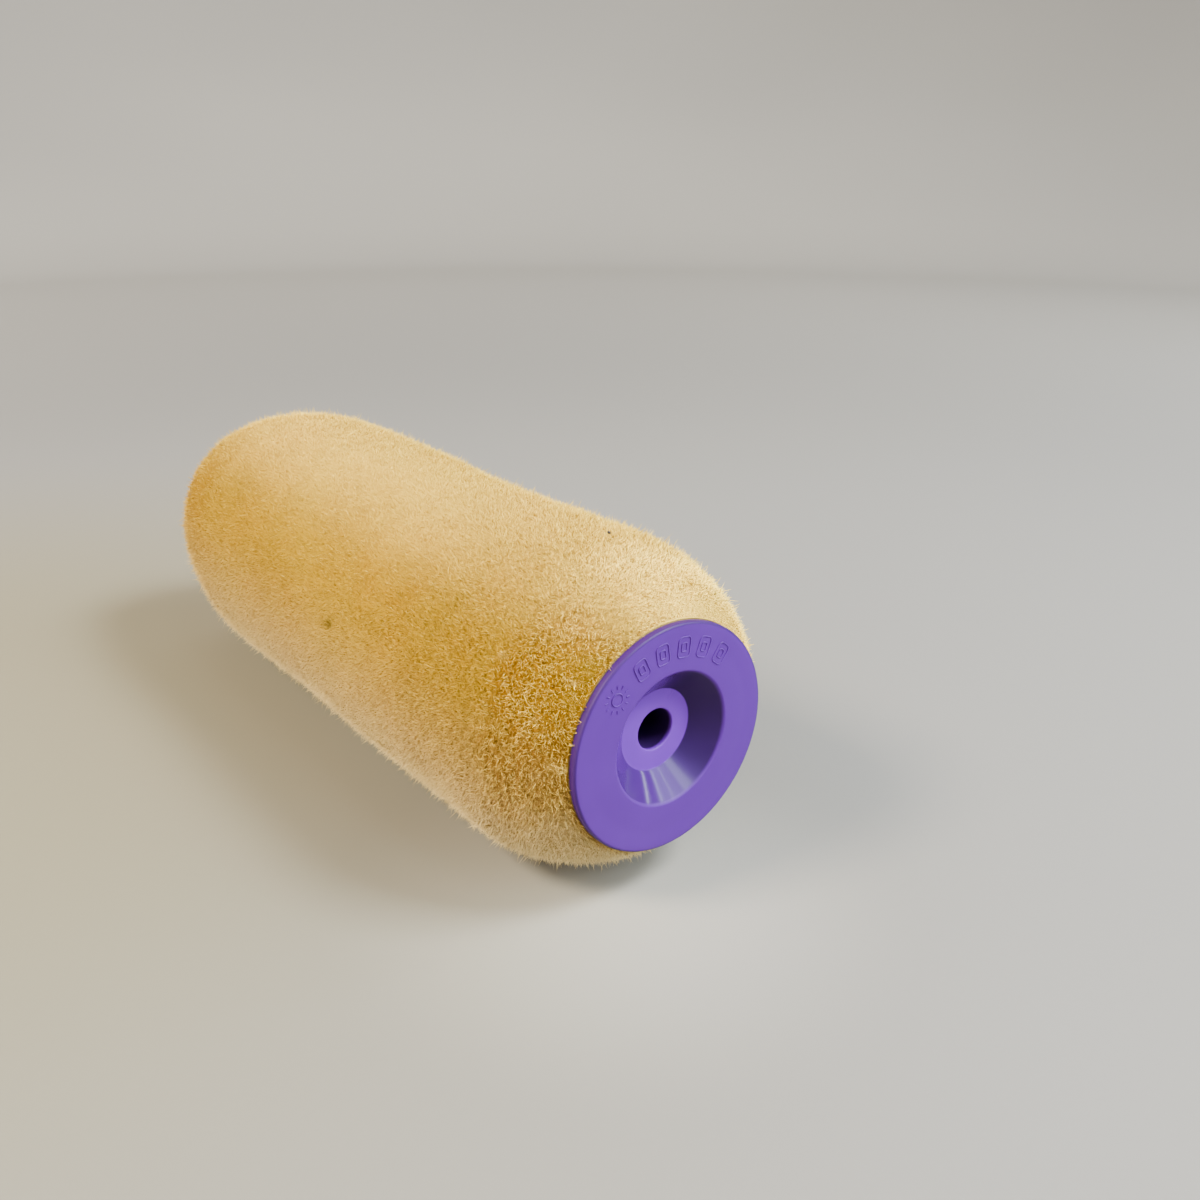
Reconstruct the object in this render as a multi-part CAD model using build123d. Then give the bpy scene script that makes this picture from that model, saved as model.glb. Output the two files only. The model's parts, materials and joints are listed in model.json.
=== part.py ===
"""Paint roller refill: a pile sleeve on a spiral-wound plastic core, with a moulded cap in each end.

The roller lies on its side. Its spin axis is Y, the front cap faces -Y, and +Z is up.
The origin is on the axis, halfway along the roller. All sizes are in millimetres.
"""

import os
from math import hypot

from build123d import *

# Rod that the roller turns on, and the running clearance all round it.
ROD_DIAMETER = 8.0
ROD_CLEARANCE = 0.2

# Core: two plastic plies wound in a spiral, then a bonding film, then the cover.
CORE_LENGTH = 178.0
CORE_INNER_RADIUS = 20.0
PLY_THICKNESS = 0.95
FILM_THICKNESS = 0.2
BACKING_THICKNESS = 0.7
BOND_LINE = 0.05
STRIP_LEAD = 74.0
SEAM_GAP = 0.4
SEAM_RUN_OUT = 3.0
BLANK_LINE_TURN = 230.0

# Pile: its height over the backing, the height and length of each end's taper, how full the
# tapers are, and how deep the roller's own weight presses a flat into it.
PILE_HEIGHT = 11.3
FRONT_END_HEIGHT = 0.6
FRONT_TAPER = 20.0
REAR_END_HEIGHT = 3.5
REAR_TAPER = 34.0
TAPER_FULLNESS = 0.37
REST_FLAT_DEPTH = 0.6

# End caps.
FLANGE_THICKNESS = 1.8
FLANGE_EDGE_ROUND = 0.5
DISH_MOUTH_RADIUS = 13.6
DISH_FLOOR_RADIUS = 8.3
DISH_DEPTH = 4.85
DISH_MOUTH_ROUND = 0.4
CAP_WALL = 1.6
HUB_OUTER_RADIUS = 6.6
HUB_DEPTH = 26.0
BORE_MOUTH_ROUND = 0.3
SPIGOT_WALL = 1.8
SPIGOT_DEPTH = 18.0
SPIGOT_CLEARANCE = 0.1
SPIGOT_LEAD_IN = 0.8
CRUSH_RIBS = 8
CRUSH_RIB_WIDTH = 1.2
CRUSH_RIB_CLEARANCE = 0.02
WEBS = 6
WEB_THICKNESS = 1.4
WEB_DEPTH = 15.0

# Relief moulded on the flange: five plain blocks and a dial of ticks.
RELIEF_HEIGHT = 0.15
RELIEF_LINE = 0.3
BLOCK_WIDTH = 2.9
BLOCK_TALL = 3.9
BLOCK_PITCH = 16.0
BLOCK_MIDDLE = 83.0
BLOCKS = 5
DIAL_ANGLE = 137.0
DIAL_RADIUS = 2.8
DIAL_TICKS = 12
DIAL_TICK_LENGTH = 0.7

# What follows from those sizes.
bore_radius = ROD_DIAMETER / 2 + ROD_CLEARANCE
inner_ply_outer = CORE_INNER_RADIUS + PLY_THICKNESS
outer_ply_inner = inner_ply_outer + BOND_LINE
outer_ply_outer = outer_ply_inner + PLY_THICKNESS
film_inner = outer_ply_outer + BOND_LINE
film_outer = film_inner + FILM_THICKNESS
backing_inner = film_outer + BOND_LINE
backing_outer = backing_inner + BACKING_THICKNESS
pile_inner = backing_outer + BOND_LINE
pile_outer = pile_inner + PILE_HEIGHT
flange_radius = pile_inner
core_end = CORE_LENGTH / 2
land_middle_radius = (flange_radius + DISH_MOUTH_RADIUS) / 2
spigot_radius = CORE_INNER_RADIUS - SPIGOT_CLEARANCE
spigot_inner = spigot_radius - SPIGOT_WALL
rib_radius = CORE_INNER_RADIUS - CRUSH_RIB_CLEARANCE


def tube(inner_radius, outer_radius):
    """A plain tube as long as the core, centred on the origin, with its axis along Z."""
    return extrude(Circle(outer_radius) - Circle(inner_radius), core_end, both=True)


def laid_down(shape, turn):
    """A shape built along Z, turned about its axis and laid along Y."""
    return Rot(X=-90) * Rot(Z=turn) * shape


def spiral_strip(inner_radius, outer_radius, seam_turn):
    """A tube made of one strip wound edge to edge, with an open seam between its turns.

    The tube's own edge line is turned well away from where the seam runs out, so the two don't meet there.
    """
    middle_radius = (inner_radius + outer_radius) / 2
    path = Helix(STRIP_LEAD, CORE_LENGTH + 2 * SEAM_RUN_OUT, middle_radius)
    start = Plane(origin=path @ 0, x_dir=(1, 0, 0), z_dir=path % 0)
    slot = Rectangle(2 * (outer_radius - inner_radius), SEAM_GAP)
    seam = Pos(0, 0, -core_end - SEAM_RUN_OUT) * sweep(start * slot, path, is_frenet=True)
    leaves_at = 360 * (CORE_LENGTH + SEAM_RUN_OUT) / STRIP_LEAD
    blank = Rot(Z=leaves_at - BLANK_LINE_TURN) * tube(inner_radius, outer_radius)
    return laid_down(blank - seam, seam_turn)


def taper(end_radius, end, length):
    """The curve of one end of the pile, from the core's end out to its full radius."""
    rise = pile_outer - end_radius
    return Bezier(
        (end_radius, end),
        (end_radius + TAPER_FULLNESS * rise, end),
        (pile_outer, end - length * (1 - TAPER_FULLNESS)),
        (pile_outer, end - length),
    )


def pile():
    """The pile as a solid sleeve, tapered towards both ends and pressed flat below."""
    front_radius = pile_inner + FRONT_END_HEIGHT
    rear_radius = pile_inner + REAR_END_HEIGHT
    section = make_face(
        [
            Line((pile_inner, -core_end), (front_radius, -core_end)),
            taper(front_radius, -core_end, -FRONT_TAPER),
            Line((pile_outer, FRONT_TAPER - core_end), (pile_outer, core_end - REAR_TAPER)),
            taper(rear_radius, core_end, REAR_TAPER),
            Line((rear_radius, core_end), (pile_inner, core_end)),
            Line((pile_inner, core_end), (pile_inner, -core_end)),
        ]
    )
    sleeve = revolve(section, Axis.Y)
    top_at = (Align.CENTER, Align.CENTER, Align.MAX)
    below = Box(4 * pile_outer, 2 * CORE_LENGTH, 2 * pile_outer, align=top_at)
    return sleeve - Pos(0, 0, REST_FLAT_DEPTH - pile_outer) * below


def cap_shell():
    """Flange, dish, hub and spigot of a cap, turned from one outline.

    The outline is drawn as radius and depth, with the depth measured inwards from the outer face.
    """
    flare = (DISH_MOUTH_RADIUS - DISH_FLOOR_RADIUS) / DISH_DEPTH
    wall_across = CAP_WALL * hypot(1, flare)
    floor_back = DISH_DEPTH + CAP_WALL
    cone_back = DISH_FLOOR_RADIUS + wall_across - CAP_WALL * flare
    cone_meets_flange = DISH_MOUTH_RADIUS + wall_across - FLANGE_THICKNESS * flare
    outline = Polyline(
        (bore_radius, DISH_DEPTH),
        (DISH_FLOOR_RADIUS, DISH_DEPTH),
        (DISH_MOUTH_RADIUS, 0),
        (flange_radius, 0),
        (flange_radius, FLANGE_THICKNESS),
        (spigot_radius, FLANGE_THICKNESS),
        (spigot_radius, SPIGOT_DEPTH - SPIGOT_LEAD_IN),
        (spigot_radius - SPIGOT_LEAD_IN, SPIGOT_DEPTH),
        (spigot_inner, SPIGOT_DEPTH),
        (spigot_inner, FLANGE_THICKNESS),
        (cone_meets_flange, FLANGE_THICKNESS),
        (cone_back, floor_back),
        (HUB_OUTER_RADIUS, floor_back),
        (HUB_OUTER_RADIUS, HUB_DEPTH),
        (bore_radius, HUB_DEPTH),
        close=True,
    )
    section = make_face(outline)

    def corner(radius, depth):
        return section.vertices().sort_by_distance((radius, depth, 0))[0]

    edge_round = min(FLANGE_EDGE_ROUND, 0.45 * FLANGE_THICKNESS)
    section = fillet(corner(flange_radius, 0), edge_round)
    section = fillet(corner(flange_radius, FLANGE_THICKNESS), edge_round)
    section = fillet(corner(DISH_MOUTH_RADIUS, 0), DISH_MOUTH_ROUND)
    section = fillet(corner(bore_radius, DISH_DEPTH), BORE_MOUTH_ROUND)
    return revolve(section, Axis.Y)


def webs():
    """Radial webs that tie the hub to the spigot behind the dish."""
    inner = (HUB_OUTER_RADIUS + bore_radius) / 2
    outer = spigot_radius - SPIGOT_WALL / 2
    start = DISH_DEPTH + CAP_WALL / 2
    web = Pos((inner + outer) / 2, (start + WEB_DEPTH) / 2, 0) * Box(
        outer - inner, WEB_DEPTH - start, WEB_THICKNESS
    )
    return [Rot(Y=360 / WEBS * i) * web for i in range(WEBS)]


def crush_ribs():
    """Ribs along the spigot, drawn as they sit once the core has crushed their crests."""
    inner = spigot_radius - SPIGOT_WALL / 2
    length = SPIGOT_DEPTH - SPIGOT_LEAD_IN - FLANGE_THICKNESS
    rib = Pos((inner + rib_radius) / 2, FLANGE_THICKNESS + length / 2, 0) * Box(
        rib_radius - inner, length, CRUSH_RIB_WIDTH
    )
    return [Rot(Y=360 / CRUSH_RIBS * (i + 0.5)) * rib for i in range(CRUSH_RIBS)]


def relief():
    """Raised outlines of five plain blocks and a dial of ticks, drawn on the flange's outer face."""
    frame = RectangleRounded(BLOCK_WIDTH, BLOCK_TALL, 2 * RELIEF_LINE)
    frame -= RectangleRounded(
        BLOCK_WIDTH - 2 * RELIEF_LINE, BLOCK_TALL - 2 * RELIEF_LINE, RELIEF_LINE
    )
    shapes = []
    for i in range(BLOCKS):
        angle = BLOCK_MIDDLE + BLOCK_PITCH * (i - (BLOCKS - 1) / 2)
        shapes.append(Rot(Z=angle - 90) * Pos(0, land_middle_radius) * frame)
    dial = Rot(Z=DIAL_ANGLE - 90) * Pos(0, land_middle_radius)
    shapes.append(dial * (Circle(DIAL_RADIUS) - Circle(DIAL_RADIUS - RELIEF_LINE)))
    tick_orbit = DIAL_RADIUS - 2 * RELIEF_LINE - DIAL_TICK_LENGTH / 2
    for i in range(DIAL_TICKS):
        tick = Pos(tick_orbit, 0) * Rectangle(DIAL_TICK_LENGTH, RELIEF_LINE / 2)
        shapes.append(dial * Rot(Z=360 / DIAL_TICKS * i) * tick)
    face = Plane(origin=(0, 0, 0), x_dir=(1, 0, 0), z_dir=(0, -1, 0))
    return [extrude(face * s, RELIEF_HEIGHT, both=True) for s in shapes]


def end_cap():
    """One moulded cap with its outer face at Y = 0 and its spigot along +Y."""
    cap = cap_shell()
    for piece in [*webs(), *crush_ribs(), *relief()]:
        cap += piece
    return cap


outer_face = core_end + FLANGE_THICKNESS
cap = end_cap()
nodes = {
    "front_end_cap": Pos(0, -outer_face, 0) * cap,
    "rear_end_cap": Rot(Z=180) * Pos(0, -outer_face, 0) * cap,
    "core_inner_ply": spiral_strip(CORE_INNER_RADIUS, inner_ply_outer, 0),
    "core_outer_ply": spiral_strip(outer_ply_inner, outer_ply_outer, 180),
    "bonding_film": laid_down(tube(film_inner, film_outer), 0),
    "cover_backing": spiral_strip(backing_inner, backing_outer, 90),
    "cover_pile": pile(),
}

os.makedirs("parts", exist_ok=True)
for name, shape in nodes.items():
    shape.label = name
    export_step(shape, f"parts/{name}.step")
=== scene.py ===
"""Paint roller refill: the plush pile, the moulded caps and the core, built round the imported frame.

Lengths are metres. The roller's axis is Y, the front cap faces -Y and +Z is up.
"""

import json
import math

import bmesh
import bpy
import numpy as np
from bpy.props import (
    FloatProperty,
    FloatVectorProperty,
    IntProperty,
    PointerProperty,
)
from mathutils import Matrix, Vector, noise


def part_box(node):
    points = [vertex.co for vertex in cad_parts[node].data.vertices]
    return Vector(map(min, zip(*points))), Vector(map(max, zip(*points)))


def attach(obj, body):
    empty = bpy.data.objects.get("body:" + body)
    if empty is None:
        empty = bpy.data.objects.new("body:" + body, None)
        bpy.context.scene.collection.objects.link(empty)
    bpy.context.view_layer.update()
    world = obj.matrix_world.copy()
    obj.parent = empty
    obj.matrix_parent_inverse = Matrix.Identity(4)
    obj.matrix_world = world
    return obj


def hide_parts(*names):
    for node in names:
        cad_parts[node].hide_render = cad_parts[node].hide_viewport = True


bl_info = {
    "name": "Paint Roller Refill",
    "version": (1, 0, 0),
    "blender": (4, 5, 0),
    "location": "View3D > Sidebar > Roller",
    "description": "Builds a plush paint roller refill with moulded end caps, and its stage",
    "category": "Object",
}

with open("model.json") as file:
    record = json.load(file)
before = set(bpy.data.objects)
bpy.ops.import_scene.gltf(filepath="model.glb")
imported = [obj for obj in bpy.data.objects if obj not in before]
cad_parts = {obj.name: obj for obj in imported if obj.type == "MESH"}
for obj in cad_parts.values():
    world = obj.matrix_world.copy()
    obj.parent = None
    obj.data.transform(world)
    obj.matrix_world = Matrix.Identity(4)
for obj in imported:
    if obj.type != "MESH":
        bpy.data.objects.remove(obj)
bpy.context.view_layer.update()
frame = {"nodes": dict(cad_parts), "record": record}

PILE_LOW, PILE_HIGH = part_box("cover_pile")
CAP_LOW, CAP_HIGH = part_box("front_end_cap")
MOUNTS = {mount["name"]: mount for mount in frame["record"]["mounts"]}

CORE_END = PILE_HIGH[1]
PILE_RADIUS = PILE_HIGH[0]
REST_HEIGHT = PILE_LOW[2]
FLANGE_RADIUS = CAP_HIGH[0]
OUTER_FACE = -MOUNTS["front_flange_face"]["pos_m"][1]
HUB_FACE = -MOUNTS["front_hub_face"]["pos_m"][1]
HUB_END = -CAP_HIGH[1]
BORE_RADIUS = MOUNTS["front_bore"]["dims"]["r_mm"] / 1000
BODY = "root"


# ---------------------------------------------------------------- settings


def length(name, description, default):
    """A length that the panel shows, in metres."""
    return FloatProperty(name=name, description=description, default=default, unit="LENGTH")


def swatch(name, description, default):
    """A colour that the panel shows."""
    return FloatVectorProperty(name=name, description=description, subtype="COLOR", default=default)


class PileSettings(bpy.types.PropertyGroup):
    """Sizes and colours of the plush pile."""

    front_taper: length("Front taper", "Length over which the pile narrows to the front cap", 0.021)
    rear_taper: length("Rear taper", "Length over which the pile narrows to the rear cap", 0.034)
    front_end_height: length(
        "Front end height", "Height of the pile over the flange at the front end", 0.0005
    )
    rear_end_height: length(
        "Rear end height", "Height of the pile over the flange at the rear end", 0.0035
    )
    skin_depth: length(
        "Skin depth", "How far the dense part of the pile lies below the fibre tips", 0.0014
    )
    wave_height: length(
        "Wave height", "Rise and fall of the pile along the spiral of its cover strip", 0.00025
    )
    wave_lead: length("Wave lead", "Length of one turn of the cover strip along the roller", 0.076)
    front_length: length("Front fibre length", "Length of a loose fibre end near the front cap", 0.0013)
    front_width: length("Front fibre width", "Thickness of a fibre end near the front cap", 0.000115)
    body_length: length(
        "Body fibre length", "Length of a loose fibre end on the rest of the roller", 0.0013
    )
    body_width: length(
        "Body fibre width", "Thickness of a fibre end on the rest of the roller", 0.00011
    )
    front_crowd: FloatProperty(
        name="Front crowd", description="Fibre ends per square millimetre near the front cap",
        default=14.0,
    )
    body_crowd: FloatProperty(
        name="Body crowd", description="Fibre ends per square millimetre on the rest of the roller",
        default=5.7,
    )
    seed: IntProperty(name="Seed", description="Seed of the fibres' random places", default=7)
    # Painted shade down between the fibres and in the ruffled pile, and the colour of the darker blotches.
    shade_and_blotch_colour: swatch("Deep colour", "Colour down between the fibres", (0.25, 0.112, 0.0))
    mid_colour: swatch("Pile colour", "Main colour of the pile", (0.330, 0.192, 0.004))
    pale_colour: swatch("Tip colour", "Colour of the pale fibre tips", (0.90, 0.61, 0.11))
    # Painted bounce light: the underside is given a paler colour, standing for light thrown up from the
    # floor.
    underside_light_colour: swatch("Underside colour", "Colour of the fibre tips on the underside", (0.58, 0.455, 0.225))


class CapSettings(bpy.types.PropertyGroup):
    """Sizes and colour of the moulded end caps."""

    flange_thickness: length("Flange thickness", "Thickness of the flange", 0.0018)
    edge_round: length("Edge round", "Radius of the flange's outer edges", 0.0005)
    dish_mouth: length("Dish mouth", "Radius of the dish at the flange", 0.0136)
    dish_floor: length("Dish floor", "Radius of the flat ring at the bottom of the dish", 0.0083)
    mouth_round: length("Mouth round", "Radius of the dish's upper edge", 0.0006)
    wall: length("Wall", "Thickness of the dish", 0.0016)
    hub_radius: length("Hub radius", "Outer radius of the hub behind the dish", 0.0066)
    spigot_radius: length("Spigot radius", "Outer radius of the spigot in the core", 0.0199)
    spigot_wall: length("Spigot wall", "Thickness of the spigot", 0.0018)
    spigot_depth: length("Spigot depth", "Reach of the spigot from the outer face", 0.018)
    blocks: IntProperty(name="Blocks", description="Raised blocks in the row on the flange", default=5)
    relief_line: length("Relief line", "Half the thickness of the raised lines on the flange", 0.00013)
    colour: swatch("Plastic colour", "Colour of the moulded plastic", (0.056, 0.0095, 0.138))


class StageSettings(bpy.types.PropertyGroup):
    """The floor, the lights and the camera."""

    azimuth: FloatProperty(
        name="Azimuth", description="Heading of the camera, from +Y towards +X", subtype="ANGLE",
        default=math.radians(38.7),
    )
    pitch: FloatProperty(
        name="Pitch", description="How far the camera looks down", subtype="ANGLE",
        default=math.radians(22.3),
    )
    distance: length("Distance", "Depth of the front cap's face in front of the camera", 0.2056)
    aim_right: length("Aim right", "How far the cap's centre lies right of the view's middle", 0.01348)
    aim_down: length("Aim down", "How far the cap's centre lies below the view's middle", 0.02585)
    lens: FloatProperty(
        name="Lens", description="Focal length in millimetres on a 36 mm sensor", default=33.24,
    )
    floor_colour: swatch("Floor colour", "Colour of the floor and backdrop", (0.131, 0.1215, 0.1055))
    # Painted bounce light: the floor beside the pile takes this colour as if lit by light off the pile.
    bounce_tint_colour: swatch("Warm colour", "Colour of the floor where the pile tints it", (0.126, 0.108, 0.063))


# ---------------------------------------------------------------- materials


class Wire:
    """A socket in a material's node tree that can be used in Python arithmetic."""

    def __init__(self, paint, socket):
        self.paint = paint
        self.socket = socket

    def maths(self, operation, *others, **settings):
        return self.paint.node(
            "ShaderNodeMath", {"operation": operation, **settings}, [self, *others]
        )

    def __add__(self, other):
        return self.maths("ADD", other)

    def __radd__(self, other):
        return self.maths("ADD", other)

    def __sub__(self, other):
        return self.maths("SUBTRACT", other)

    def __rsub__(self, other):
        return self.paint.node("ShaderNodeMath", {"operation": "SUBTRACT"}, [other, self])

    def __mul__(self, other):
        return self.maths("MULTIPLY", other)

    def __rmul__(self, other):
        return self.maths("MULTIPLY", other)

    def __truediv__(self, other):
        return self.maths("DIVIDE", other)

    def clamped(self):
        return self.maths("ADD", 0.0, use_clamp=True)

    def step(self, low, high):
        """0 below low, 1 above high and smooth between them."""
        return self.paint.node(
            "ShaderNodeMapRange",
            {"interpolation_type": "SMOOTHSTEP"},
            {"Value": self, "From Min": low, "From Max": high},
        )


class Paint:
    """A material under construction. Its node method makes any node and returns its first output."""

    def __init__(self, name, **shader):
        self.material = bpy.data.materials.new(name)
        self.material.use_nodes = True
        self.tree = self.material.node_tree
        self.shader = self.tree.nodes["Principled BSDF"]
        for socket, value in shader.items():
            self.shader.inputs[socket.replace("_", " ")].default_value = value

    def node(self, kind, settings=None, inputs=None, output=0):
        made = self.tree.nodes.new(kind)
        for name, value in (settings or {}).items():
            setattr(made, name, value)
        pairs = inputs.items() if isinstance(inputs, dict) else enumerate(inputs or [])
        for key, value in pairs:
            self.feed(made.inputs[key], value)
        return Wire(self, made.outputs[output])

    def feed(self, socket, value):
        if isinstance(value, Wire):
            self.tree.links.new(value.socket, socket)
        elif hasattr(socket.default_value, "__len__") and len(socket.default_value) == 4:
            socket.default_value = (*value, 1.0)[:4]
        else:
            socket.default_value = value

    def attribute(self, name):
        return self.node("ShaderNodeAttribute", {"attribute_name": name}, output="Fac")

    def place(self, scale=(1, 1, 1)):
        here = self.node("ShaderNodeTexCoord", output="Object")
        return self.node("ShaderNodeMapping", {}, {"Vector": here, "Scale": scale})

    def height(self):
        """Height over the roller's axis as a share of its radius."""
        return self.parts(self.node("ShaderNodeTexCoord", output="Object"))[2] / PILE_RADIUS

    def parts(self, vector):
        """A vector's X, Y and Z."""
        apart = self.tree.nodes.new("ShaderNodeSeparateXYZ")
        self.feed(apart.inputs[0], vector)
        return [Wire(self, output) for output in apart.outputs]

    def distance_from(self, point):
        here = self.node("ShaderNodeTexCoord", output="Object")
        away = self.node("ShaderNodeVectorMath", {"operation": "SUBTRACT"}, [here, point])
        return self.node("ShaderNodeVectorMath", {"operation": "LENGTH"}, [away], output="Value")

    def noise(self, scale, detail=2.0, roughness=0.5, vector=None, stretch=(1, 1, 1)):
        return self.node(
            "ShaderNodeTexNoise",
            {},
            {
                "Vector": vector or self.place(stretch),
                "Scale": scale,
                "Detail": detail,
                "Roughness": roughness,
            },
        )

    def mix(self, share, first, second, blend="MIX"):
        mixed = self.tree.nodes.new("ShaderNodeMix")
        mixed.data_type = "RGBA"
        mixed.blend_type = blend
        for socket, value in zip((0, 6, 7), (share, first, second)):
            self.feed(mixed.inputs[socket], value)
        return Wire(self, mixed.outputs[2])

    def grey(self, value):
        """A number as a grey colour."""
        return self.node("ShaderNodeCombineColor", {}, [value, value, value])

    def bump(self, height, strength, distance):
        return self.node(
            "ShaderNodeBump", {}, {"Height": height, "Strength": strength, "Distance": distance}
        )

    def finish(self, **links):
        for socket, wire in links.items():
            self.feed(self.shader.inputs[socket.replace("_", " ")], wire)
        return self.material


def fibre_material(pile):
    """Fibre ends: darker at the root as painted shade, pale at the tip, each with a tint of its own."""
    paint = Paint(
        "pile fibres", Roughness=0.7, Specular_IOR_Level=0.0, Sheen_Weight=0.04, Sheen_Roughness=0.45
    )
    paint.shader.inputs["Sheen Tint"].default_value = (1.0, 0.90, 0.70, 1.0)
    along = paint.attribute("along")
    tint = paint.attribute("tint")
    ruffle = paint.attribute("ruffle")
    pale = paint.attribute("pale")
    stain = paint.attribute("stain")
    drift = paint.noise(70, detail=3)
    blotch = paint.noise(38, detail=3, roughness=0.6)
    # Painted shade: fibres turn to the deep colour towards the root and where ruffled; blotches, tufts and
    # tint vary it at random.
    rise = along * (0.4 + ruffle * 0.6) + 0.65 - ruffle * 0.6 + (tint - 0.5) * (0.75 + ruffle * 0.25)
    tuft = paint.noise(300, detail=3)
    rise = rise - (blotch - 0.45) * (1.7 + ruffle * 0.7) - (tuft - 0.5) * 0.9
    rise = rise.clamped()
    colour = paint.mix(rise, pile.shade_and_blotch_colour, pile.mid_colour)
    height = paint.height()
    tip = tint.step(0.25, 0.9) * (0.06 + ruffle * 0.64) + tint.step(0.72, 0.96) * (1 - ruffle) * 0.34
    # Painted light: the tips are paler on top of the roller, where the light falls; pale adds real pale tufts
    # and painted light on the front shoulder.
    tip = tip + pale * 0.9 + height.step(0.55, 1.05) * 0.38
    tip = along.step(0.1, 0.9) * tip
    colour = paint.mix(tip.clamped(), colour, pile.pale_colour)
    # Painted bounce light: the underside is paler, less so where ruffled.
    colour = paint.mix((1 - height.step(-1.1, 0.45)) * (0.85 - ruffle * 0.45), colour, pile.underside_light_colour)
    grain = paint.noise(1500, detail=2, roughness=0.7)
    shade = (drift - 0.5) * 0.35 + (grain - 0.5) * 0.8 + 1.02 - stain * 0.7
    return paint.finish(Base_Color=paint.mix(1.0, colour, paint.grey(shade), "MULTIPLY"))


def skin_material(pile):
    """The dense pile below the loose fibre ends, darker where ruffled as painted shade."""
    paint = Paint("pile depth", Roughness=0.9, Specular_IOR_Level=0.0, Sheen_Weight=0.03, Sheen_Roughness=0.5)
    paint.shader.inputs["Sheen Tint"].default_value = (1.0, 0.90, 0.70, 1.0)
    ruffle = paint.attribute("ruffle")
    stain = paint.attribute("stain")
    grain = paint.noise(2600, detail=3, roughness=0.7)
    drift = paint.noise(70, detail=3)
    blotch = paint.noise(38, detail=3, roughness=0.6)
    # Painted shade: the dense pile turns towards the deep colour where ruffled; grain and blotches vary it at
    # random.
    light = (grain - 0.5) * 1.2 + 0.85 - ruffle * 0.9 - (blotch - 0.45) * (1.5 + ruffle * 0.7)
    light = light.clamped()
    colour = paint.mix(light, pile.shade_and_blotch_colour, pile.mid_colour)
    height = paint.height()
    # Painted light: paler on top of the roller, where the light falls.
    tip = paint.attribute("pale") * 0.55 + height.step(0.55, 1.05) * 0.38
    colour = paint.mix(tip.clamped(), colour, pile.pale_colour)
    # Painted bounce light: the underside is paler, less so where ruffled.
    colour = paint.mix((1 - height.step(-1.1, 0.45)) * (0.80 - ruffle * 0.45), colour, pile.underside_light_colour)
    shade = (drift - 0.5) * 0.35 + 1.0 - stain * 0.7
    return paint.finish(
        Base_Color=paint.mix(1.0, colour, paint.grey(shade), "MULTIPLY"),
        Normal=paint.bump(grain, 0.8, 0.0006),
    )


def cap_material(cap):
    """Violet polypropylene: a satin flange round a polished dish."""
    paint = Paint("moulded plastic", Specular_IOR_Level=0.13, Coat_Roughness=0.035, Coat_IOR=1.5)
    here = paint.node("ShaderNodeTexCoord", output="Object")
    across, deep, up = paint.parts(here)
    radius = (across * across + up * up).maths("SQRT")
    depth = OUTER_FACE - deep.maths("ABSOLUTE")
    in_dish = depth.step(0.0001, 0.0006) * (1 - radius.step(cap.dish_mouth, cap.dish_mouth + 0.0004))
    on_cone = in_dish * radius.step(cap.dish_floor - 0.0001, cap.dish_floor + 0.0002)
    grain = paint.noise(5200, detail=2, roughness=0.6)
    cloud = paint.noise(160, detail=3)
    scuff = paint.noise(900, detail=4, roughness=0.7, stretch=(1.0, 1.0, 0.18)).step(0.60, 0.78)
    # Painted shade: the bore, deeper than the hub's face, is painted black.
    in_bore = (1 - radius.step(BORE_RADIUS - 0.0001, BORE_RADIUS + 0.0004)) * depth.step(0.0050, 0.0060)
    # Painted shade: the cone's wall on its +X side is darkened in colour; there its coat is dropped and its
    # roughness left high.
    beyond = (across * 0.98 + up * 0.17) / radius
    painted_wall_shade = on_cone * beyond.step(0.0, 0.65)
    glint = on_cone * beyond.step(0.08, 0.16) * (1 - beyond.step(0.24, 0.34)) * (1 - up.step(-0.0040, 0.0))
    # Painted shade: the flange's rim is darkened, where its side lies in shade beside the pile.
    edge = radius.step(FLANGE_RADIUS - 0.0007, FLANGE_RADIUS - 0.0002) * 0.55
    # Painted light and shade: the hub's face at the bottom of the dish is made lighter and the cone darker.
    tone = 1 + (in_dish - on_cone) * 0.66 - on_cone * 0.35
    tone = tone * ((cloud - 0.5) * 0.16 + 1.0 + scuff * 0.05)
    # Painted shade: the cone's wall on its -X side, where the lamps light it most, is darkened a little.
    lit_side_shade = on_cone * (1 - beyond.step(-0.9, -0.1)) * 0.18
    tone = tone * (1 - in_bore) * (1 - painted_wall_shade * 0.58) * (1 - edge) * (1 - lit_side_shade)
    colour = paint.mix(1.0, cap.colour, paint.grey(tone), "MULTIPLY")
    roughness = 0.46 + (cloud - 0.5) * 0.12 + scuff * 0.06 - on_cone * (1 - painted_wall_shade) * 0.30
    height = grain * (1 - on_cone * 0.9) + cloud * 0.6
    return paint.finish(
        Base_Color=colour,
        Roughness=roughness,
        Coat_Weight=on_cone * (1 - painted_wall_shade) * 0.08 + glint * 0.30,
        Normal=paint.bump(height, 0.10, 0.00012),
    )


def plain_material(name, colour, roughness, scale, strength, stretch=(1, 1, 1)):
    """A material of the core's plies, film and backing: one colour, clouded and slightly uneven."""
    paint = Paint(name)
    cloud = paint.noise(scale, detail=4, roughness=0.6, stretch=stretch)
    tone = (cloud - 0.5) * 0.3 + 1.0
    return paint.finish(
        Base_Color=paint.mix(1.0, colour, paint.grey(tone), "MULTIPLY"),
        Roughness=(cloud - 0.5) * 0.2 + roughness,
        Normal=paint.bump(cloud, strength, 0.0003),
    )


# ---------------------------------------------------------------- mesh helpers


def new_object(name, mesh, material):
    """An object at the origin that shows the mesh in one material."""
    made = bpy.data.objects.new(name, mesh)
    bpy.context.scene.collection.objects.link(made)
    if material and not mesh.materials:
        mesh.materials.append(material)
    return made


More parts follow.
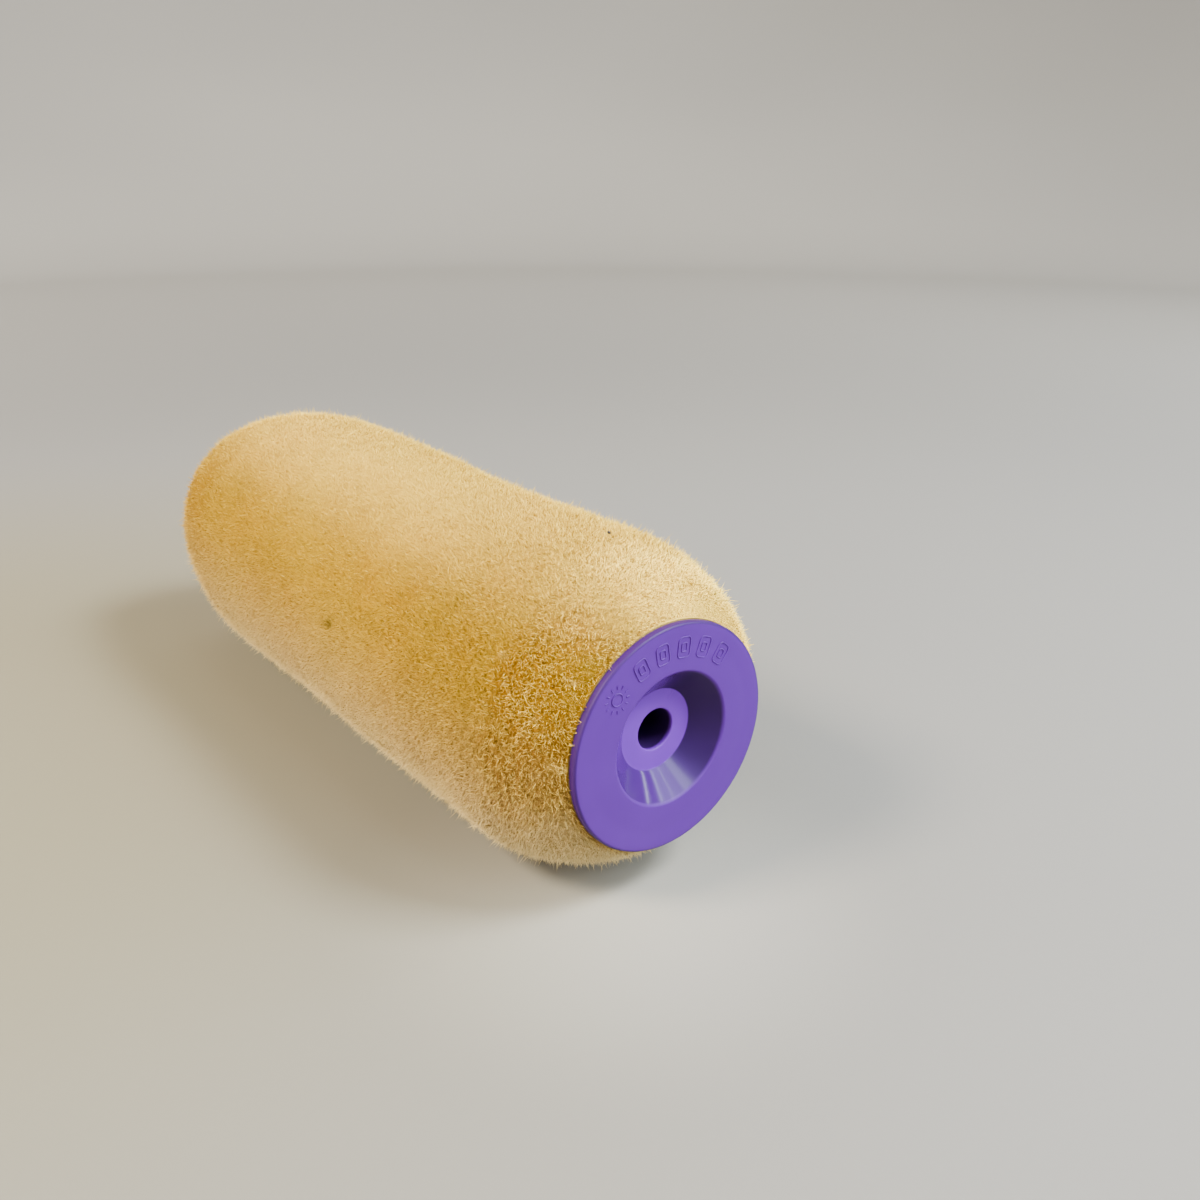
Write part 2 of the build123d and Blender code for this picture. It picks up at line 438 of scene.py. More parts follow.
def claim(piece, slot, *nodes):
    """Rides a piece on the roller's body and hides the nodes that it stands for."""
    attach(piece, BODY)
    if nodes:
        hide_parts(*nodes)


def smoothstep(low, high, value):
    """0 at low, 1 at high and smooth between them. Low may be the larger of the two."""
    share = min(max((value - low) / (high - low), 0.0), 1.0)
    return share * share * (3 - 2 * share)


def shell_of_rings(name, rings, closed):
    """A mesh of rings of points, each joined to the next. A closed one joins its last ring to its first."""
    count = len(rings[0])
    vertices = [point for ring in rings for point in ring]
    faces = []
    for i in range(len(rings) if closed else len(rings) - 1):
        a = i * count
        b = (i + 1) % len(rings) * count
        for j in range(count):
            k = (j + 1) % count
            faces.append((a + j, a + k, b + k, b + j))
    mesh = bpy.data.meshes.new(name)
    mesh.from_pydata(vertices, [], faces)
    mesh.update()
    return mesh


def face_outwards(mesh):
    """Makes the faces of a closed mesh point outwards, and shades it smooth."""
    work = bmesh.new()
    work.from_mesh(mesh)
    bmesh.ops.recalc_face_normals(work, faces=work.faces)
    work.to_mesh(mesh)
    work.free()
    mesh.shade_smooth()


# ---------------------------------------------------------------- pile


FRONT_ZONE_FROM = -0.032
FRONT_ZONE_FULLY = -0.068
RUFFLED_FROM = -0.067
RUFFLED_FULLY = -0.079
RUFFLED_SIDE = math.radians(158)
STAIN_PLACE = (math.radians(168), -0.0165)
STAIN_RADIUS = 0.0020
SPECK_PLACE = (math.radians(86), -0.069)
SPECK_RADIUS = 0.0004
FULLER_SIDE = math.radians(237)
TAPER_POWER = 1.38
FRONT_PATCHES = 4
BODY_PATCHES = 7
FRONT_ZONE_END = -0.050


def tapered(share):
    """Rise of a taper from its end, 0, to its full height, 1, as share of its length goes from 0 to 1."""
    return (1 - (1 - min(max(share, 0.0), 1.0)) ** TAPER_POWER) ** (1 / TAPER_POWER)


def tip_radius(pile, y):
    """Mean radius of the fibre tips at a place along the roller."""
    front = FLANGE_RADIUS + pile.front_end_height
    rear = FLANGE_RADIUS + pile.rear_end_height
    front_rise = tapered((y + CORE_END) / pile.front_taper)
    rear_rise = tapered((CORE_END - y) / pile.rear_taper)
    from_front = front + (PILE_RADIUS - front) * front_rise
    from_rear = rear + (PILE_RADIUS - rear) * rear_rise
    return min(from_front, from_rear)


def wave(pile, turn, y):
    """Rise of the pile over its mean radius: along the spiral of its strip, and where it was pressed."""
    dips_at = math.radians(90) + 2 * math.pi * (y + 0.014) / pile.wave_lead
    fade = smoothstep(-CORE_END, -CORE_END + pile.front_taper, y)
    fade *= smoothstep(CORE_END, CORE_END - pile.rear_taper, y)
    lump = noise.noise(Vector((math.cos(turn) * 2.2, y * 60, math.sin(turn) * 2.2)))
    fuller = 0.0008 * max(0.0, math.cos(turn - FULLER_SIDE))
    pressed = (0.0016 * smoothstep(-0.02, 0.06, y) - 0.0006) * max(0.0, -math.cos(turn - FULLER_SIDE))
    return fade * (pile.wave_height * (-math.cos(turn - dips_at) + 0.9 * lump) + fuller + pressed)


def pile_point(pile, turn, y, depth=0.0):
    """A point of the pile's surface, pressed flat where it would pass through what it lies on."""
    radius = tip_radius(pile, y) - pile.skin_depth + wave(pile, turn, y) - depth
    radius = max(radius, FLANGE_RADIUS + 0.0002)
    height = radius * math.sin(turn)
    return (radius * math.cos(turn), y, max(height, REST_HEIGHT + 0.0003))


def angle_apart(a, b):
    """How far two angles are apart the shorter way round."""
    return abs((a - b + math.pi) % (2 * math.pi) - math.pi)


MARK_NAMES = ("ruffle", "pale", "stain", "zone", "reach")


def marks(turn, y):
    """Five numbers from 0 to 1 for a place on the pile, in the order of MARK_NAMES.

    How ruffled, pale and stained it is, how far it belongs to the front zone, and what share of
    their length its fibres have. Pale holds real pale tufts and painted light on the front shoulder.
    """
    spot = Vector((math.cos(turn), y / PILE_RADIUS, math.sin(turn))) * PILE_RADIUS
    broad = noise.noise(spot * 110) + 0.5 * noise.noise(spot * 260) + 0.3 * noise.noise(spot * 620)
    fine = noise.noise(spot * 330 + Vector((5, 1, 9)))
    along = smoothstep(RUFFLED_FROM, RUFFLED_FULLY, y)
    side = smoothstep(math.radians(78), math.radians(18), angle_apart(turn, RUFFLED_SIDE))
    ruffle = smoothstep(0.22, 0.85, along * (0.05 + 0.69 * side) + 0.40 * broad * along)
    pale = 0.6 * along * (0.2 + 0.8 * side) * smoothstep(0.36, 0.58, fine)
    # Painted light: the upper side of the front zone, away from the ruffled side, is made pale where light
    # falls on its shoulder.
    pale = max(pale, 0.9 * along * (1 - side) * smoothstep(-0.3, 0.5, math.sin(turn)))
    away = math.hypot(angle_apart(turn, STAIN_PLACE[0]) * PILE_RADIUS, y - STAIN_PLACE[1])
    stain = smoothstep(STAIN_RADIUS, STAIN_RADIUS * 0.3, away)
    # Next to the front flange the pile is fully ruffled; its darker colour there is painted shade in the
    # crease.
    at_end = smoothstep(0.0016, 0.0006, y + CORE_END)
    ruffle = max(ruffle, at_end)
    zone = smoothstep(FRONT_ZONE_FROM, FRONT_ZONE_FULLY, y)
    fringe = 0.3 + 0.6 * smoothstep(0.3, -0.4, math.cos(turn))
    reach = fringe + (1 - fringe) * smoothstep(0.0, 0.010, y + CORE_END)
    return ruffle, pale, stain, zone, reach


def add_marks(mesh, places):
    """Stores the marks of each vertex's place as attributes for the materials and the fibres."""
    values = np.array([marks(turn, y) for turn, y in places], dtype=np.float32)
    for column, name in enumerate(MARK_NAMES):
        stored = mesh.attributes.new(name, "FLOAT", "POINT")
        stored.data.foreach_set("value", np.ascontiguousarray(values[:, column]))


def rings_along(start, end, step):
    """Evenly spaced places from start to end, about a step apart."""
    count = max(2, round((end - start) / step) + 1)
    return [start + (end - start) * i / (count - 1) for i in range(count)]


def skin_stations(pile):
    """Places along the roller for the skin's rings, closer together on the tapers."""
    front = -CORE_END + pile.front_taper
    rear = CORE_END - pile.rear_taper
    stations = rings_along(-CORE_END + 0.00005, front, 0.0006)[:-1]
    stations += rings_along(front, rear, 0.0013)[:-1]
    return stations + rings_along(rear, CORE_END - 0.0004, 0.0008)


def build_skin(pile):
    """The dense body of the pile: its tapered outside, and its inside against the backing."""
    turns = [2 * math.pi * j / 300 for j in range(300)]
    stations = skin_stations(pile)
    outside = [[pile_point(pile, turn, y) for turn in turns] for y in stations]
    places = [(turn, y) for y in stations for turn in turns]
    inside = []
    for y in (stations[-1], stations[0]):
        inside.append([(FLANGE_RADIUS * math.cos(t), y, FLANGE_RADIUS * math.sin(t)) for t in turns])
        places += [(turn, y) for turn in turns]
    mesh = shell_of_rings("pile_depth", outside + inside, closed=True)
    add_marks(mesh, places)
    face_outwards(mesh)
    return new_object("pile_depth", mesh, skin_material(pile))


def build_speck(pile):
    """A dark crumb caught in the fibre tips on top of the roller."""
    turn, y = SPECK_PLACE
    radius = tip_radius(pile, y) + 0.0001
    mesh = bpy.data.meshes.new("pile_speck")
    work = bmesh.new()
    bmesh.ops.create_icosphere(work, subdivisions=2, radius=SPECK_RADIUS)
    for vertex in work.verts:
        vertex.co *= 0.8 + 0.5 * noise.noise(vertex.co * 3000)
        vertex.co += Vector((radius * math.cos(turn), y, radius * math.sin(turn)))
    work.to_mesh(mesh)
    work.free()
    face_outwards(mesh)
    return new_object("pile_speck", mesh, plain_material("dark crumb", (0.02, 0.015, 0.01), 0.8, 900, 0.3))


def fibre_shape():
    """One fibre end of unit length: a three-sided spindle, pointed at its root and tip."""
    middle = [(math.cos(a), math.sin(a), 0.5) for a in (0, 2 * math.pi / 3, 4 * math.pi / 3)]
    faces = [(0, 2, 1), (0, 3, 2), (0, 1, 3), (1, 2, 4), (2, 3, 4), (3, 1, 4)]
    mesh = bpy.data.meshes.new("fibre")
    mesh.from_pydata([(0, 0, 0), *middle, (0, 0, 1)], [], faces)
    along = mesh.attributes.new("along", "FLOAT", "POINT")
    along.data.foreach_set("value", [0.0, 0.5, 0.5, 0.5, 1.0])
    flat = mesh.attributes.new("flat", "FLOAT", "POINT")
    flat.data.foreach_set("value", [0.0, -1.0, 0.0, 1.0, 0.0])
    return bpy.data.objects.new("fibre", mesh)


class Field:
    """A socket in a geometry node tree, made through one method that takes any node."""

    def __init__(self, tree):
        self.tree = tree

    def node(self, kind, settings=None, inputs=None, output=0):
        made = self.tree.nodes.new(kind)
        for name, value in (settings or {}).items():
            setattr(made, name, value)
        for key, value in (inputs or {}).items():
            if isinstance(value, bpy.types.NodeSocket):
                self.tree.links.new(value, made.inputs[key])
            else:
                made.inputs[key].default_value = value
        return made.outputs[output]

    def maths(self, operation, a, b=0.0, c=0.0):
        return self.node("ShaderNodeMath", {"operation": operation}, {0: a, 1: b, 2: c})

    def vector(self, operation, a, b=(0, 0, 0), output=0):
        return self.node("ShaderNodeVectorMath", {"operation": operation}, {0: a, 1: b}, output)

    def xyz(self, **parts):
        """A vector made of the parts given, with 0 for the others."""
        return self.node("ShaderNodeCombineXYZ", {}, parts)

    def parts(self, vector):
        """A vector's X, Y and Z, as outputs by name."""
        made = self.tree.nodes.new("ShaderNodeSeparateXYZ")
        self.tree.links.new(vector, made.inputs[0])
        return made.outputs

    def joined(self, *shapes):
        made = self.tree.nodes.new("GeometryNodeJoinGeometry")
        for shape in shapes:
            self.tree.links.new(shape, made.inputs[0])
        return made.outputs[0]

    def finish(self, shape, material):
        """Gives the shape its material and makes it the tree's result."""
        shape = self.node("GeometryNodeSetMaterial", {}, {"Geometry": shape, "Material": material})
        out = self.tree.nodes.new("NodeGroupOutput")
        self.tree.links.new(shape, out.inputs[0])
        return self.tree

    def scaled(self, vector, scale):
        return self.node(
            "ShaderNodeVectorMath", {"operation": "SCALE"}, {0: vector, "Scale": scale}
        )

    def named(self, name, kind="FLOAT"):
        return self.node("GeometryNodeInputNamedAttribute", {"data_type": kind}, {"Name": name})

    def store(self, geometry, name, value, kind="FLOAT", domain="POINT"):
        return self.node(
            "GeometryNodeStoreNamedAttribute",
            {"data_type": kind, "domain": domain},
            {"Geometry": geometry, "Name": name, "Value": value},
        )

    def random(self, low, high, seed, kind="FLOAT"):
        made = self.tree.nodes.new("FunctionNodeRandomValue")
        made.data_type = kind
        first = 0 if kind == "FLOAT_VECTOR" else 2
        made.inputs[first].default_value = low
        made.inputs[first + 1].default_value = high
        self.tree.links.new(seed, made.inputs["Seed"])
        return made.outputs[0 if kind == "FLOAT_VECTOR" else 1]


def geometry_tree(name, sockets):
    """A geometry node tree with named inputs, and its group input node's outputs by name."""
    tree = bpy.data.node_groups.new(name, "GeometryNodeTree")
    tree.interface.new_socket("Geometry", in_out="OUTPUT", socket_type="NodeSocketGeometry")
    tree.interface.new_socket("Geometry", in_out="INPUT", socket_type="NodeSocketGeometry")
    for kind, labels in sockets.items():
        for label in labels:
            tree.interface.new_socket(label, in_out="INPUT", socket_type=kind)
    entry = tree.nodes.new("NodeGroupInput")
    return tree, {socket.name: socket for socket in entry.outputs if socket.name}


def fibre_tree():
    """Scatters fibre ends over a patch of pile, leans and curls them, and keeps them off the floor."""
    tree, ask = geometry_tree(
        "pile fibres",
        {
            "NodeSocketFloat": [
                "Body Crowd", "Front Crowd", "Body Length", "Front Length", "Body Width",
                "Front Width", "Lean", "Curl", "Patch Start", "Patch End", "Rest Height",
                "Front Limit",
            ],
            "NodeSocketInt": ["Seed"],
            "NodeSocketObject": ["Fibre"],
            "NodeSocketMaterial": ["Material"],
        },
    )
    field = Field(tree)
    scatter = tree.nodes.new("GeometryNodeDistributePointsOnFaces")
    tree.links.new(ask["Geometry"], scatter.inputs["Mesh"])
    zone = field.named("zone")

    def by_zone(label):
        return field.node(
            "ShaderNodeMix", {}, {"Factor": zone, "A": ask["Body " + label], "B": ask["Front " + label]}
        )

    tree.links.new(by_zone("Crowd"), scatter.inputs["Density"])
    tree.links.new(ask["Seed"], scatter.inputs["Seed"])
    here = field.node("GeometryNodeInputPosition")
    seed = ask["Seed"]
    ruffle = field.named("ruffle")
    pale = field.named("pale")

    # Lean: a slow drift shared by neighbours, and a random part that grows where the pile is ruffled.
    drift = field.node(
        "ShaderNodeTexNoise", {}, {"Vector": here, "Scale": 150.0, "Detail": 1.0}, "Color"
    )
    drift = field.vector("SUBTRACT", drift, (0.5, 0.5, 0.5))
    stray = field.random((-1, -1, -1), (1, 1, 1), seed, "FLOAT_VECTOR")
    wild = field.maths("MULTIPLY_ADD", ruffle, 0.8, 1.0)
    stray = field.scaled(stray, field.maths("MULTIPLY", ask["Lean"], wild))
    lean = field.vector("ADD", field.scaled(drift, 2.2), stray)
    heading = field.vector("ADD", scatter.outputs["Normal"], lean)
    place = field.parts(here)
    inward = field.maths("SUBTRACT", place["Y"], ask["Front Limit"])
    over_rim = field.node(
        "ShaderNodeMapRange", {}, {0: inward, 1: 0.0015, 2: 0.0065, 3: -1.5, 4: 0.0}
    )
    over_rim = field.xyz(Y=over_rim)
    heading = field.vector("ADD", heading, over_rim)
    spun = field.xyz(Z=field.random(0.0, math.tau, seed))
    spun = field.node("FunctionNodeEulerToRotation", {}, {"Euler": spun})
    aimed = field.node(
        "FunctionNodeAlignRotationToVector", {"axis": "Z"}, {"Rotation": spun, "Vector": heading}
    )

    # Size: longer where ruffled, and stouter where pale fibres clump.
    reach = field.maths("MULTIPLY", by_zone("Length"), field.random(0.6, 1.25, seed))
    reach = field.maths("MULTIPLY", reach, field.named("reach"))
    astray = field.maths("GREATER_THAN", field.random(0.0, 1.0, field.maths("ADD", seed, 57)), 0.93)
    reach = field.maths("MULTIPLY", reach, field.maths("MULTIPLY_ADD", astray, 0.6, 1.0))
    reach = field.maths("MULTIPLY", reach, field.maths("MULTIPLY_ADD", ruffle, 0.05, 1.0))
    girth = field.maths("MULTIPLY", by_zone("Width"), field.random(0.35, 0.65, seed))
    stout = field.maths("MULTIPLY_ADD", ruffle, 0.20, field.maths("MULTIPLY_ADD", pale, 0.35, 1.0))
    girth = field.maths("MULTIPLY", girth, stout)
    size = field.xyz(X=girth, Y=girth, Z=reach)

    shape = field.node(
        "GeometryNodeObjectInfo", {}, {"Object": ask["Fibre"]}, output="Geometry"
    )
    planted = field.node(
        "GeometryNodeInstanceOnPoints",
        {},
        {
            "Points": scatter.outputs["Points"],
            "Instance": shape,
            "Rotation": aimed,
            "Scale": size,
        },
    )
    later = field.maths("ADD", seed, 101)
    planted = field.store(planted, "tint", field.random(0.0, 1.0, later), domain="INSTANCE")
    bend = field.random((-1, -1, -1), (1, 1, 1), later, "FLOAT_VECTOR")
    bend = field.scaled(bend, field.maths("MULTIPLY", reach, ask["Curl"]))
    planted = field.store(planted, "bend", bend, "FLOAT_VECTOR", "INSTANCE")
    turn = field.maths("ARCTAN2", place["Z"], place["X"])
    round_share = field.maths("MULTIPLY_ADD", turn, 1 / math.tau, 0.5)
    run = field.maths("SUBTRACT", place["Y"], ask["Patch Start"])
    run = field.maths("DIVIDE", run, field.maths("SUBTRACT", ask["Patch End"], ask["Patch Start"]))
    root = field.xyz(X=round_share, Y=run)
    planted = field.store(planted, "root", root, "FLOAT_VECTOR", "INSTANCE")
    loose = field.node("GeometryNodeRealizeInstances", {}, {"Geometry": planted})

    # Curl: the tip bends further than the middle.
    along = field.named("along")
    curl = field.scaled(field.named("bend", "FLOAT_VECTOR"), field.maths("POWER", along, 2.0))
    loose = field.node("GeometryNodeSetPosition", {}, {"Geometry": loose, "Offset": curl})
    kept = field.xyz(
        X=place["X"],
        Y=field.maths("MAXIMUM", place["Y"], ask["Front Limit"]),
        Z=field.maths("MAXIMUM", place["Z"], ask["Rest Height"]),
    )
    loose = field.node("GeometryNodeSetPosition", {}, {"Geometry": loose, "Position": kept})

    # Each fibre takes a small spot of the patch's map, so that it keeps a colour of its own there.
    beside = field.maths("MULTIPLY", field.named("flat"), 0.0035)
    above = field.maths("MULTIPLY", along, 0.007)
    spot = field.vector(
        "ADD",
        field.named("root", "FLOAT_VECTOR"),
        field.xyz(X=beside, Y=above),
    )
    loose = field.store(loose, "OFBake", spot, "FLOAT2", "CORNER")
    return field.finish(loose, ask["Material"])


def baked_from_tree(carrier, tree, values, name):
    """Runs a tree on a carrier object and returns the result as a plain object of its own."""
    modifier = carrier.modifiers.new("build", "NODES")
    modifier.node_group = tree
    for item in tree.interface.items_tree:
        if item.in_out == "INPUT" and item.name in values:
            modifier[item.identifier] = values[item.name]
    seen = carrier.evaluated_get(bpy.context.evaluated_depsgraph_get())
    mesh = bpy.data.meshes.new_from_object(seen)
    mesh.name = name
    carrier.modifiers.remove(modifier)
    bpy.data.objects.remove(carrier)
    return new_object(name, mesh, None)


def patch_object(pile, start, end):
    """An open strip of the pile's surface that carries fibres."""
    turns = [2 * math.pi * j / 240 for j in range(240)]
    stations = rings_along(start, end, 0.001)
    rings = [[pile_point(pile, turn, y) for turn in turns] for y in stations]
    mesh = shell_of_rings("patch", rings, closed=False)
    add_marks(mesh, [(turn, y) for y in stations for turn in turns])
    carrier = new_object("patch", mesh, None)
    mesh.flip_normals()
    return carrier


def build_fibres(pile):
    """The loose fibre ends, in strips along the roller."""
    tree = fibre_tree()
    shape = fibre_shape()
    material = fibre_material(pile)
    first = -CORE_END + 0.0006
    last = CORE_END - 0.0006
    edges = [first + (FRONT_ZONE_END - first) * i / FRONT_PATCHES for i in range(FRONT_PATCHES)]
    edges += [FRONT_ZONE_END + (last - FRONT_ZONE_END) * i / BODY_PATCHES for i in range(BODY_PATCHES + 1)]
    made = []
    for i, (start, end) in enumerate(zip(edges, edges[1:])):
        values = {
            "Body Crowd": pile.body_crowd * 1e6,
            "Front Crowd": pile.front_crowd * 1e6,
            "Body Length": pile.body_length,
            "Front Length": pile.front_length,
            "Body Width": pile.body_width,
            "Front Width": pile.front_width,
            "Lean": 0.6,
            "Curl": 0.42,
            "Patch Start": start,
            "Patch End": end,
            "Rest Height": REST_HEIGHT + 0.0001,
            "Front Limit": -OUTER_FACE + 0.0004,
            "Fibre": shape,
            "Material": material,
            "Seed": pile.seed + i,
        }
        name = f"pile_fibres_{i + 1:02d}"
        piece = baked_from_tree(patch_object(pile, start, end), tree, values, name)
        piece.data.shade_smooth()
        made.append(piece)
    bpy.data.objects.remove(shape)
    return made


# ---------------------------------------------------------------- caps


GATE_TURN = math.radians(62)


def rounded(outline, radii, count=6):
    """A closed outline with its corners rounded. Each corner has a radius, which may be 0."""
    points = []
    for i, corner in enumerate(outline):
        here = Vector(corner)
        before = (Vector(outline[i - 1]) - here).normalized()
        after = (Vector(outline[(i + 1) % len(outline)]) - here).normalized()
        radius = radii[i]
        if radius <= 0:
            points.append(tuple(here))
            continue
        half = before.angle(after) / 2
        reach = radius / math.tan(half)
        centre = here + (before + after).normalized() * radius / math.sin(half)
        first = here + before * reach - centre
        last = here + after * reach - centre
        sweep = first.angle_signed(last)
        for j in range(count + 1):
            turned = first.copy()
            turned.rotate(Matrix.Rotation(-sweep * j / count, 2))
            points.append(tuple(centre + turned))
    return points


def cap_outline(cap):
    """The turned outline of a cap, as radius and depth behind its outer face."""
    dish_depth = OUTER_FACE - HUB_FACE
    flare = (cap.dish_mouth - cap.dish_floor) / dish_depth
    across = cap.wall * math.hypot(1, flare)
    floor_back = dish_depth + cap.wall
    hub_depth = OUTER_FACE - HUB_END
    inner = cap.spigot_radius - cap.spigot_wall
    corners = [
        ((BORE_RADIUS, dish_depth), 0.0003),
        ((cap.dish_floor, dish_depth), 0.0003),
        ((cap.dish_mouth, 0.0), cap.mouth_round),
        ((FLANGE_RADIUS, 0.0), cap.edge_round),
        ((FLANGE_RADIUS, cap.flange_thickness), cap.edge_round),
        ((cap.spigot_radius, cap.flange_thickness), 0.0),
        ((cap.spigot_radius, cap.spigot_depth - 0.0008), 0.0),
        ((cap.spigot_radius - 0.0008, cap.spigot_depth), 0.0),
        ((inner, cap.spigot_depth), 0.0002),
        ((inner, cap.flange_thickness), 0.0004),
        ((cap.dish_mouth + across - cap.flange_thickness * flare, cap.flange_thickness), 0.0004),
        ((cap.dish_floor + across - cap.wall * flare, floor_back), 0.0004),
        ((cap.hub_radius, floor_back), 0.0004),
        ((cap.hub_radius, hub_depth), 0.0002),
        ((BORE_RADIUS, hub_depth), 0.0003),
    ]
    return rounded([place for place, _ in corners], [radius for _, radius in corners])


def subdivided(outline, longest):
    """The outline with points added, so that no side is longer than asked."""
    points = []
    for i, here in enumerate(outline):
        there = outline[(i + 1) % len(outline)]
        pieces = max(1, math.ceil(math.dist(here, there) / longest))
        for j in range(pieces):
            share = j / pieces
            points.append((here[0] + (there[0] - here[0]) * share, here[1] + (there[1] - here[1]) * share))
    return points


def sink(cap, radius, turn):
    """Depth of the faint hollow that cooling leaves in the flange over the spigot's wall."""
    over_wall = cap.spigot_radius - cap.spigot_wall / 2
    ring = math.exp(-(((radius - over_wall) / 0.0011) ** 2))
    uneven = 0.75 + 0.25 * math.sin(3 * turn + 1.0)
    return 0.00007 * ring * uneven


def gate_mark(cap, radius, depth, turn):
    """Height of the small nub on the hub's face where the moulding was cut from its runner."""
    if abs(depth - (OUTER_FACE - HUB_FACE)) > 0.0003:
        return 0.0
    at = (cap.dish_floor - 0.0007) * Vector((math.cos(GATE_TURN), math.sin(GATE_TURN)))
    away = (Vector((radius * math.cos(turn), radius * math.sin(turn))) - at).length
    return 0.00030 * math.exp(-((away / 0.00045) ** 2))


def build_cap(cap, material, name, facing):
    """A turned cap with its outer face towards -Y, or towards +Y when facing is 1."""
    outline = subdivided(cap_outline(cap), 0.0008)
    count = 216
    rings = []
    for radius, depth in outline:
        ring = []
        for j in range(count):
            turn = 2 * math.pi * j / count
            y = depth + (sink(cap, radius, turn) if depth < 0.0001 else 0.0)
            y -= gate_mark(cap, radius, depth, turn)
            across = radius * math.cos(turn) * -facing
            ring.append((across, facing * (OUTER_FACE - y), radius * math.sin(turn)))
        rings.append(ring)
    mesh = shell_of_rings(name, rings, closed=True)
    face_outwards(mesh)
    return new_object(name, mesh, material)


def relief_tree():
    """Raised outlines round the flange: a row of blocks, each with a smaller one inside, and a dial."""
    tree, ask = geometry_tree(
        "cap relief",
        {
            "NodeSocketFloat": [
                "Block Width", "Block Height", "Pitch", "Middle", "Orbit", "Dial Angle", "Dial Radius",
                "Line", "Face", "Turn",
            ],
            "NodeSocketInt": ["Blocks", "Ticks"],
            "NodeSocketMaterial": ["Material"],
        },
    )
    field = Field(tree)
    index = field.node("GeometryNodeInputIndex")

    def rounded_block(width, height, share):
        wide = field.maths("MULTIPLY", width, share)
        tall = field.maths("MULTIPLY", height, share)
        frame_curve = field.node(
            "GeometryNodeCurvePrimitiveQuadrilateral", {}, {"Width": wide, "Height": tall}
        )
        return field.node(
            "GeometryNodeFilletCurve",
            {"mode": "POLY"},
            {"Curve": frame_curve, "Count": 5, "Radius": field.maths("MULTIPLY", wide, 0.28)},
        )

    def placed(curve, count, first, step, orbit, stand):
        """Copies of a curve on a circle in the face's plane, with their tops away from its centre."""
        angle = field.maths("MULTIPLY_ADD", index, step, first)
        line = field.node("GeometryNodeMeshLine", {}, {"Count": count})
        across = field.maths("MULTIPLY", orbit, field.maths("COSINE", angle))
        up = field.maths("MULTIPLY", orbit, field.maths("SINE", angle))
        at = field.xyz(X=across, Z=up)
        line = field.node("GeometryNodeSetPosition", {}, {"Geometry": line, "Position": at})
        lean = field.maths("SUBTRACT", math.pi / 2, angle)
        pose = field.xyz(X=stand, Y=lean)
        return field.node(
            "GeometryNodeInstanceOnPoints", {}, {"Points": line, "Instance": curve, "Rotation": pose}
        )

    half = field.maths("MULTIPLY", field.maths("SUBTRACT", ask["Blocks"], 1), 0.5)
    first = field.maths("SUBTRACT", ask["Middle"], field.maths("MULTIPLY", half, ask["Pitch"]))
    outlines = [rounded_block(ask["Block Width"], ask["Block Height"], share) for share in (1.0, 0.42)]
    block = field.joined(*outlines)
    blocks = placed(block, ask["Blocks"], first, ask["Pitch"], ask["Orbit"], math.pi / 2)

    tick = field.node(
        "GeometryNodeCurvePrimitiveLine",
        {},
        {"Start": (0, -0.00035, 0), "End": (0, 0.00035, 0)},
    )
    step = field.maths("DIVIDE", math.tau, ask["Ticks"])
    ticks = placed(tick, ask["Ticks"], 0.0, step, ask["Dial Radius"], math.pi / 2)
    inner = field.maths("MULTIPLY", ask["Dial Radius"], 0.5)
    ring = field.node("GeometryNodeCurvePrimitiveCircle", {}, {"Resolution": 32, "Radius": inner})
    ring = field.node("GeometryNodeTransform", {}, {"Geometry": ring, "Rotation": (math.pi / 2, 0, 0)})
    across = field.maths("MULTIPLY", ask["Orbit"], field.maths("COSINE", ask["Dial Angle"]))
    up = field.maths("MULTIPLY", ask["Orbit"], field.maths("SINE", ask["Dial Angle"]))
    at = field.xyz(X=across, Z=up)
    dial = field.node(
        "GeometryNodeTransform", {}, {"Geometry": field.joined(ticks, ring), "Translation": at}
    )

    lines = field.node("GeometryNodeRealizeInstances", {}, {"Geometry": field.joined(blocks, dial)})
    section = field.node(
        "GeometryNodeCurvePrimitiveCircle", {}, {"Resolution": 8, "Radius": ask["Line"]}
    )
    tubes = field.node(
        "GeometryNodeCurveToMesh", {}, {"Curve": lines, "Profile Curve": section, "Fill Caps": True}
    )
    seat = field.node("ShaderNodeCombineXYZ", {}, {"Y": ask["Face"]})
    tubes = field.node("GeometryNodeTransform", {}, {"Geometry": tubes, "Translation": seat})
    about = field.node("ShaderNodeCombineXYZ", {}, {"Z": ask["Turn"]})
    tubes = field.node("GeometryNodeTransform", {}, {"Geometry": tubes, "Rotation": about})
    tubes = field.node("GeometryNodeRealizeInstances", {}, {"Geometry": tubes})
    return field.finish(tubes, ask["Material"])


def build_relief(cap, tree, material, name, turn):
    """The raised outlines of one cap, turned about the vertical to face its way."""
    values = {
        "Blocks": cap.blocks,
        "Block Width": 0.0029,
        "Block Height": 0.0040,
        "Pitch": math.radians(16),
        "Middle": math.radians(83),
        "Orbit": (cap.dish_mouth + FLANGE_RADIUS) / 2,
        "Dial Angle": math.radians(137),
        "Dial Radius": 0.0024,
        "Ticks": 12,
        "Line": cap.relief_line,
        "Face": -OUTER_FACE,
        "Turn": turn,
        "Material": material,
    }
    carrier = new_object("carrier", bpy.data.meshes.new("carrier"), None)
    piece = baked_from_tree(carrier, tree, values, name)
    face_outwards(piece.data)
    return piece


# ---------------------------------------------------------------- stage


FLOOR_RADII = [0.0001, 0.15, 0.4, 0.8] + [1.1 + 0.06 * i for i in range(16)]
FLOOR_FLAT = 1.1
BACKDROP_LIFT = 1.1
# Painted bounce light: where the floor beside the pile is tinted as if lit by light off the pile, and how far
# from there the tint begins and stops fading.
BOUNCE_TINT_CENTRE = (-0.14, 0.080, REST_HEIGHT)
BOUNCE_TINT_REACH = (0.07, 0.30)
